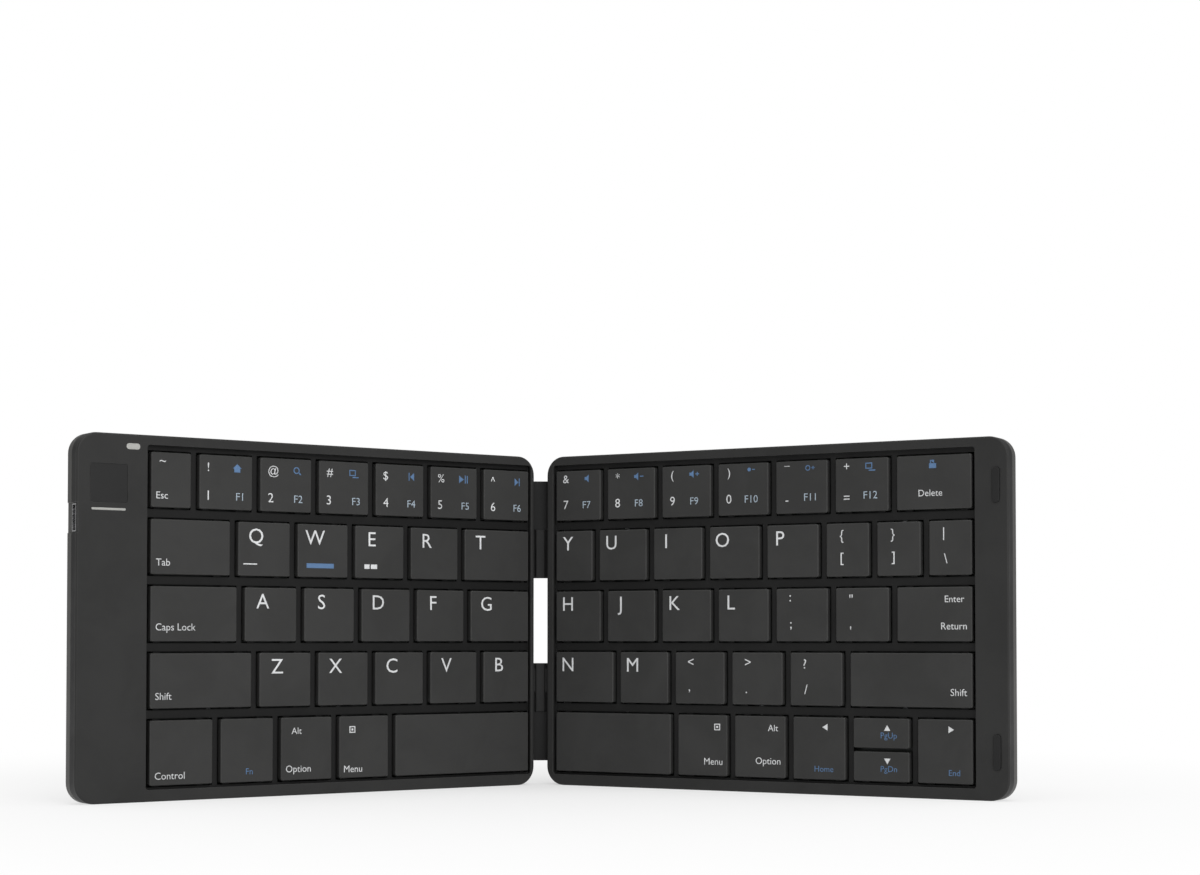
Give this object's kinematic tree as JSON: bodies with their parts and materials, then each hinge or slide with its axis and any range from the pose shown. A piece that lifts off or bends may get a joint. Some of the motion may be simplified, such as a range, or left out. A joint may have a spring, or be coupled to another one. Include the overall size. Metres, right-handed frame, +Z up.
{
  "type": "folding keyboard",
  "caption": "Slim two-part computer keyboard that folds shut like a book on a double-pin hinge, with spring-loaded keys split between its halves.",
  "frame": {"origin": "middle of the rectangle that the half-opened keyboard covers, on the surface that its front edges stand on", "axes": "+X to the right seen from the keys, +Z up from the space row to the number row; the keys face -Y"},
  "size_m": [0.2534, 0.0828, 0.098],
  "materials": {
    "back_shell": "smooth satin dark grey",
    "key_frame": "fine matt black",
    "base_steel": "bright rolled steel",
    "membrane_film": "black printed film",
    "dome_rubber": "soft milky silicone",
    "screw_steel": "plain zinc-plated steel",
    "pin_steel": "ground steel",
    "magnet_nickel": "bright nickel plating",
    "keycap_plastic": "matt charcoal with printed legends",
    "hinge_link": "matt black",
    "link_cover": "matt black",
    "flex_film": "matt black film",
    "circuit_board": "green solder mask",
    "battery_pouch": "satin laminate pouch",
    "socket_steel": "drawn steel, tin plated",
    "smoked_window": "polished smoke tint",
    "light_guide": "clear moulded guide",
    "bumper_rubber": "soft matt black",
    "legend_ink": "white pad-printed ink",
    "blue_legend_ink": "blue pad-printed ink"
  },
  "bodies": {
    "left_half": {"left_bottom_cover": "back_shell", "left_top_frame": "key_frame", "left_base_plate": "base_steel", "left_membrane": "membrane_film", "left_rubber_domes": "dome_rubber", "left_plate_screws": "screw_steel", "left_hinge_pins": "pin_steel", "left_magnets": "magnet_nickel", "main_board": "circuit_board", "battery": "battery_pouch", "charging_socket": "socket_steel", "status_window": "smoked_window", "status_lights": "light_guide"},
    "hinge_links": {"lower_hinge_link": "hinge_link", "upper_hinge_link": "hinge_link", "link_covers": "link_cover", "flex_cable": "flex_film"},
    "right_half": {"right_bottom_cover": "back_shell", "right_top_frame": "key_frame", "right_base_plate": "base_steel", "right_membrane": "membrane_film", "right_rubber_domes": "dome_rubber", "right_plate_screws": "screw_steel", "right_hinge_pins": "pin_steel", "right_magnets": "magnet_nickel", "closing_bumpers": "bumper_rubber"},
    "left_number_keys": {"left_number_keys": "keycap_plastic"},
    "left_side_keys": {"left_side_keys": "keycap_plastic"},
    "key_q": {"key_q": "keycap_plastic"},
    "key_w": {"key_w": "keycap_plastic"},
    "key_e": {"key_e": "keycap_plastic"},
    "key_r": {"key_r": "keycap_plastic"},
    "key_t": {"key_t": "keycap_plastic"},
    "key_a": {"key_a": "keycap_plastic"},
    "key_s": {"key_s": "keycap_plastic"},
    "key_d": {"key_d": "keycap_plastic"},
    "key_f": {"key_f": "keycap_plastic"},
    "key_g": {"key_g": "keycap_plastic"},
    "key_z": {"key_z": "keycap_plastic"},
    "key_x": {"key_x": "keycap_plastic"},
    "key_c": {"key_c": "keycap_plastic"},
    "key_v": {"key_v": "keycap_plastic"},
    "key_b": {"key_b": "keycap_plastic"},
    "key_left_space": {"key_left_space": "keycap_plastic"},
    "right_number_keys": {"right_number_keys": "keycap_plastic"},
    "right_punctuation_keys": {"right_punctuation_keys": "keycap_plastic"},
    "right_side_keys": {"right_side_keys": "keycap_plastic"},
    "arrow_keys": {"arrow_keys": "keycap_plastic"},
    "key_y": {"key_y": "keycap_plastic"},
    "key_u": {"key_u": "keycap_plastic"},
    "key_i": {"key_i": "keycap_plastic"},
    "key_o": {"key_o": "keycap_plastic"},
    "key_p": {"key_p": "keycap_plastic"},
    "key_h": {"key_h": "keycap_plastic"},
    "key_j": {"key_j": "keycap_plastic"},
    "key_k": {"key_k": "keycap_plastic"},
    "key_l": {"key_l": "keycap_plastic"},
    "key_n": {"key_n": "keycap_plastic"},
    "key_m": {"key_m": "keycap_plastic"},
    "key_right_space": {"key_right_space": "keycap_plastic"}
  },
  "joints": [
    {"name": "fold_left", "type": "hinge", "parent": "left_half", "child": "hinge_links", "pos_m": [-0.0038, 0.03882, 0.049], "axis": [0, 0, -1], "range_deg": [-32.5, 57.5], "deforming": ["flex_cable"]},
    {"name": "fold_right", "type": "hinge", "parent": "hinge_links", "child": "right_half", "pos_m": [0.0038, 0.03882, 0.049], "axis": [0, 0, -1], "range_deg": [-32.5, 57.5], "deforming": ["flex_cable"]},
    {"name": "press_left_number_keys", "type": "slide", "parent": "left_half", "child": "left_number_keys", "axis": [-0.5373, 0.8434, 0], "range_m": [0, 0.0012], "stiffness_N_per_m": 2800, "springref_m": -0.0005, "deforming": ["left_rubber_domes"]},
    {"name": "press_left_side_keys", "type": "slide", "parent": "left_half", "child": "left_side_keys", "axis": [-0.5373, 0.8434, 0], "range_m": [0, 0.0012], "stiffness_N_per_m": 2800, "springref_m": -0.0005, "deforming": ["left_rubber_domes"]},
    {"name": "press_q", "type": "slide", "parent": "left_half", "child": "key_q", "axis": [-0.5373, 0.8434, 0], "range_m": [0, 0.0012], "stiffness_N_per_m": 400, "springref_m": -0.0005, "deforming": ["left_rubber_domes"]},
    {"name": "press_w", "type": "slide", "parent": "left_half", "child": "key_w", "axis": [-0.5373, 0.8434, 0], "range_m": [0, 0.0012], "stiffness_N_per_m": 400, "springref_m": -0.0005, "deforming": ["left_rubber_domes"]},
    {"name": "press_e", "type": "slide", "parent": "left_half", "child": "key_e", "axis": [-0.5373, 0.8434, 0], "range_m": [0, 0.0012], "stiffness_N_per_m": 400, "springref_m": -0.0005, "deforming": ["left_rubber_domes"]},
    {"name": "press_r", "type": "slide", "parent": "left_half", "child": "key_r", "axis": [-0.5373, 0.8434, 0], "range_m": [0, 0.0012], "stiffness_N_per_m": 400, "springref_m": -0.0005, "deforming": ["left_rubber_domes"]},
    {"name": "press_t", "type": "slide", "parent": "left_half", "child": "key_t", "axis": [-0.5373, 0.8434, 0], "range_m": [0, 0.0012], "stiffness_N_per_m": 400, "springref_m": -0.0005, "deforming": ["left_rubber_domes"]},
    {"name": "press_a", "type": "slide", "parent": "left_half", "child": "key_a", "axis": [-0.5373, 0.8434, 0], "range_m": [0, 0.0012], "stiffness_N_per_m": 400, "springref_m": -0.0005, "deforming": ["left_rubber_domes"]},
    {"name": "press_s", "type": "slide", "parent": "left_half", "child": "key_s", "axis": [-0.5373, 0.8434, 0], "range_m": [0, 0.0012], "stiffness_N_per_m": 400, "springref_m": -0.0005, "deforming": ["left_rubber_domes"]},
    {"name": "press_d", "type": "slide", "parent": "left_half", "child": "key_d", "axis": [-0.5373, 0.8434, 0], "range_m": [0, 0.0012], "stiffness_N_per_m": 400, "springref_m": -0.0005, "deforming": ["left_rubber_domes"]},
    {"name": "press_f", "type": "slide", "parent": "left_half", "child": "key_f", "axis": [-0.5373, 0.8434, 0], "range_m": [0, 0.0012], "stiffness_N_per_m": 400, "springref_m": -0.0005, "deforming": ["left_rubber_domes"]},
    {"name": "press_g", "type": "slide", "parent": "left_half", "child": "key_g", "axis": [-0.5373, 0.8434, 0], "range_m": [0, 0.0012], "stiffness_N_per_m": 400, "springref_m": -0.0005, "deforming": ["left_rubber_domes"]},
    {"name": "press_z", "type": "slide", "parent": "left_half", "child": "key_z", "axis": [-0.5373, 0.8434, 0], "range_m": [0, 0.0012], "stiffness_N_per_m": 400, "springref_m": -0.0005, "deforming": ["left_rubber_domes"]},
    {"name": "press_x", "type": "slide", "parent": "left_half", "child": "key_x", "axis": [-0.5373, 0.8434, 0], "range_m": [0, 0.0012], "stiffness_N_per_m": 400, "springref_m": -0.0005, "deforming": ["left_rubber_domes"]},
    {"name": "press_c", "type": "slide", "parent": "left_half", "child": "key_c", "axis": [-0.5373, 0.8434, 0], "range_m": [0, 0.0012], "stiffness_N_per_m": 400, "springref_m": -0.0005, "deforming": ["left_rubber_domes"]},
    {"name": "press_v", "type": "slide", "parent": "left_half", "child": "key_v", "axis": [-0.5373, 0.8434, 0], "range_m": [0, 0.0012], "stiffness_N_per_m": 400, "springref_m": -0.0005, "deforming": ["left_rubber_domes"]},
    {"name": "press_b", "type": "slide", "parent": "left_half", "child": "key_b", "axis": [-0.5373, 0.8434, 0], "range_m": [0, 0.0012], "stiffness_N_per_m": 400, "springref_m": -0.0005, "deforming": ["left_rubber_domes"]},
    {"name": "press_left_space", "type": "slide", "parent": "left_half", "child": "key_left_space", "axis": [-0.5373, 0.8434, 0], "range_m": [0, 0.0012], "stiffness_N_per_m": 400, "springref_m": -0.0005, "deforming": ["left_rubber_domes"]},
    {"name": "press_right_number_keys", "type": "slide", "parent": "right_half", "child": "right_number_keys", "axis": [0.5373, 0.8434, 0], "range_m": [0, 0.0012], "stiffness_N_per_m": 2800, "springref_m": -0.0005, "deforming": ["right_rubber_domes"]},
    {"name": "press_right_punctuation_keys", "type": "slide", "parent": "right_half", "child": "right_punctuation_keys", "axis": [0.5373, 0.8434, 0], "range_m": [0, 0.0012], "stiffness_N_per_m": 3200, "springref_m": -0.0005, "deforming": ["right_rubber_domes"]},
    {"name": "press_right_side_keys", "type": "slide", "parent": "right_half", "child": "right_side_keys", "axis": [0.5373, 0.8434, 0], "range_m": [0, 0.0012], "stiffness_N_per_m": 1600, "springref_m": -0.0005, "deforming": ["right_rubber_domes"]},
    {"name": "press_arrow_keys", "type": "slide", "parent": "right_half", "child": "arrow_keys", "axis": [0.5373, 0.8434, 0], "range_m": [0, 0.0012], "stiffness_N_per_m": 1600, "springref_m": -0.0005, "deforming": ["right_rubber_domes"]},
    {"name": "press_y", "type": "slide", "parent": "right_half", "child": "key_y", "axis": [0.5373, 0.8434, 0], "range_m": [0, 0.0012], "stiffness_N_per_m": 400, "springref_m": -0.0005, "deforming": ["right_rubber_domes"]},
    {"name": "press_u", "type": "slide", "parent": "right_half", "child": "key_u", "axis": [0.5373, 0.8434, 0], "range_m": [0, 0.0012], "stiffness_N_per_m": 400, "springref_m": -0.0005, "deforming": ["right_rubber_domes"]},
    {"name": "press_i", "type": "slide", "parent": "right_half", "child": "key_i", "axis": [0.5373, 0.8434, 0], "range_m": [0, 0.0012], "stiffness_N_per_m": 400, "springref_m": -0.0005, "deforming": ["right_rubber_domes"]},
    {"name": "press_o", "type": "slide", "parent": "right_half", "child": "key_o", "axis": [0.5373, 0.8434, 0], "range_m": [0, 0.0012], "stiffness_N_per_m": 400, "springref_m": -0.0005, "deforming": ["right_rubber_domes"]},
    {"name": "press_p", "type": "slide", "parent": "right_half", "child": "key_p", "axis": [0.5373, 0.8434, 0], "range_m": [0, 0.0012], "stiffness_N_per_m": 400, "springref_m": -0.0005, "deforming": ["right_rubber_domes"]},
    {"name": "press_h", "type": "slide", "parent": "right_half", "child": "key_h", "axis": [0.5373, 0.8434, 0], "range_m": [0, 0.0012], "stiffness_N_per_m": 400, "springref_m": -0.0005, "deforming": ["right_rubber_domes"]},
    {"name": "press_j", "type": "slide", "parent": "right_half", "child": "key_j", "axis": [0.5373, 0.8434, 0], "range_m": [0, 0.0012], "stiffness_N_per_m": 400, "springref_m": -0.0005, "deforming": ["right_rubber_domes"]},
    {"name": "press_k", "type": "slide", "parent": "right_half", "child": "key_k", "axis": [0.5373, 0.8434, 0], "range_m": [0, 0.0012], "stiffness_N_per_m": 400, "springref_m": -0.0005, "deforming": ["right_rubber_domes"]},
    {"name": "press_l", "type": "slide", "parent": "right_half", "child": "key_l", "axis": [0.5373, 0.8434, 0], "range_m": [0, 0.0012], "stiffness_N_per_m": 400, "springref_m": -0.0005, "deforming": ["right_rubber_domes"]},
    {"name": "press_n", "type": "slide", "parent": "right_half", "child": "key_n", "axis": [0.5373, 0.8434, 0], "range_m": [0, 0.0012], "stiffness_N_per_m": 400, "springref_m": -0.0005, "deforming": ["right_rubber_domes"]},
    {"name": "press_m", "type": "slide", "parent": "right_half", "child": "key_m", "axis": [0.5373, 0.8434, 0], "range_m": [0, 0.0012], "stiffness_N_per_m": 400, "springref_m": -0.0005, "deforming": ["right_rubber_domes"]},
    {"name": "press_right_space", "type": "slide", "parent": "right_half", "child": "key_right_space", "axis": [0.5373, 0.8434, 0], "range_m": [0, 0.0012], "stiffness_N_per_m": 400, "springref_m": -0.0005, "deforming": ["right_rubber_domes"]}
  ]
}
